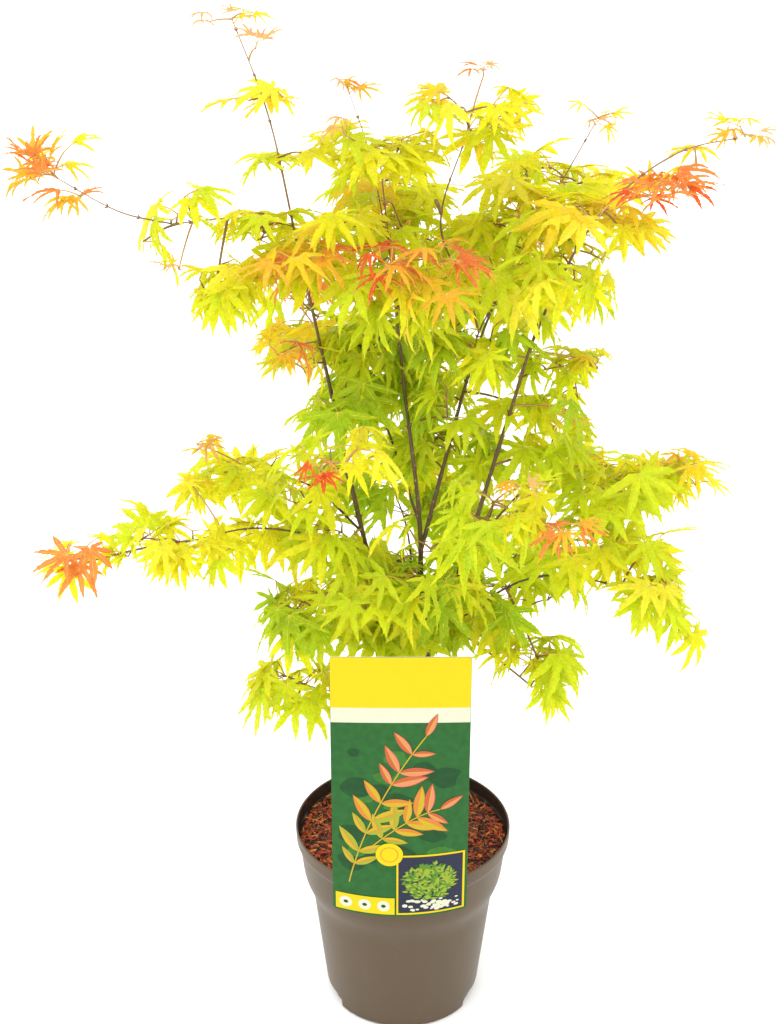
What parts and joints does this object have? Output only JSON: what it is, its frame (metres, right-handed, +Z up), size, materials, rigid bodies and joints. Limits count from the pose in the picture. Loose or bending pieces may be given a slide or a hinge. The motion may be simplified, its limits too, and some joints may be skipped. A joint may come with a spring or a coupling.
{
  "type": "potted maple shrub",
  "caption": "Young many-stemmed maple shrub with lime and orange palmate leaves, growing in a tapered nursery pot with a hanging picture card.",
  "frame": {"origin": "centre of the pot's flat underside", "axes": "+Z up along the stems; -Y towards the side with the picture card; +X to the right seen from that side"},
  "size_m": [0.5756, 0.3815, 0.8856],
  "materials": {
    "pot": "moulded taupe plastic, slightly satin",
    "compost": "damp shredded bark",
    "card": "glossy printed card",
    "bark": "smooth young bark, red-brown to green",
    "leaves_lime": "thin soft leaves, lime yellow",
    "leaves_green": "thin soft leaves, fresh green",
    "leaves_orange": "thin soft young leaves, orange to coral"
  },
  "bodies": {
    "root": {"pot": "pot", "soil": "compost", "card": "card", "trunk": "bark", "leader": "bark", "centre_stem": "bark", "right_stem": "bark", "right_centre_stem": "bark", "centre_fork": "bark", "left_upper_bough": "bark", "left_upper_end": "bark", "left_low_bough": "bark", "left_back_bough": "bark", "right_low_bough": "bark", "right_mid_bough": "bark", "front_left_bough": "bark", "front_right_bough": "bark", "back_low_bough": "bark", "back_left_bough": "bark", "back_right_bough": "bark", "back_top_bough": "bark", "top_shoot": "bark", "lower_left_shoot": "bark", "leaves_leader_tip": "leaves_orange", "leaves_leader_pair_upper": "leaves_lime", "leaves_leader_pair_lower": "leaves_lime", "leaves_left_tip": "leaves_orange", "leaves_left_mid": "leaves_lime", "leaves_left_upper": "leaves_lime", "leaves_upper_left": "leaves_orange", "leaves_left_spray": "leaves_lime", "leaves_left_inner": "leaves_lime", "leaves_centre_top_left": "leaves_lime", "leaves_top_shoot_leaves": "leaves_lime", "leaves_centre_top": "leaves_lime", "leaves_centre_front": "leaves_orange", "leaves_right_top": "leaves_lime", "leaves_top_right_tip": "leaves_lime", "leaves_right_upper": "leaves_lime", "leaves_right_side": "leaves_orange", "leaves_right_tip": "leaves_orange", "leaves_centre_mid_left": "leaves_green", "leaves_centre_mid": "leaves_lime", "leaves_right_mid": "leaves_lime", "leaves_left_low_upper": "leaves_lime", "leaves_left_low": "leaves_lime", "leaves_left_low_tip": "leaves_lime", "leaves_lower_left": "leaves_lime", "leaves_lower_left_hang": "leaves_green", "leaves_lower_centre": "leaves_green", "leaves_lower_right": "leaves_green", "leaves_right_low_upper": "leaves_lime", "leaves_right_low_far": "leaves_lime", "leaves_lower_right_hang": "leaves_lime", "leaves_front_left": "leaves_lime", "leaves_front_right": "leaves_lime", "leaves_back_low": "leaves_green", "leaves_back_left": "leaves_lime", "leaves_back_right": "leaves_lime", "leaves_back_top": "leaves_lime"}
  },
  "joints": []
}
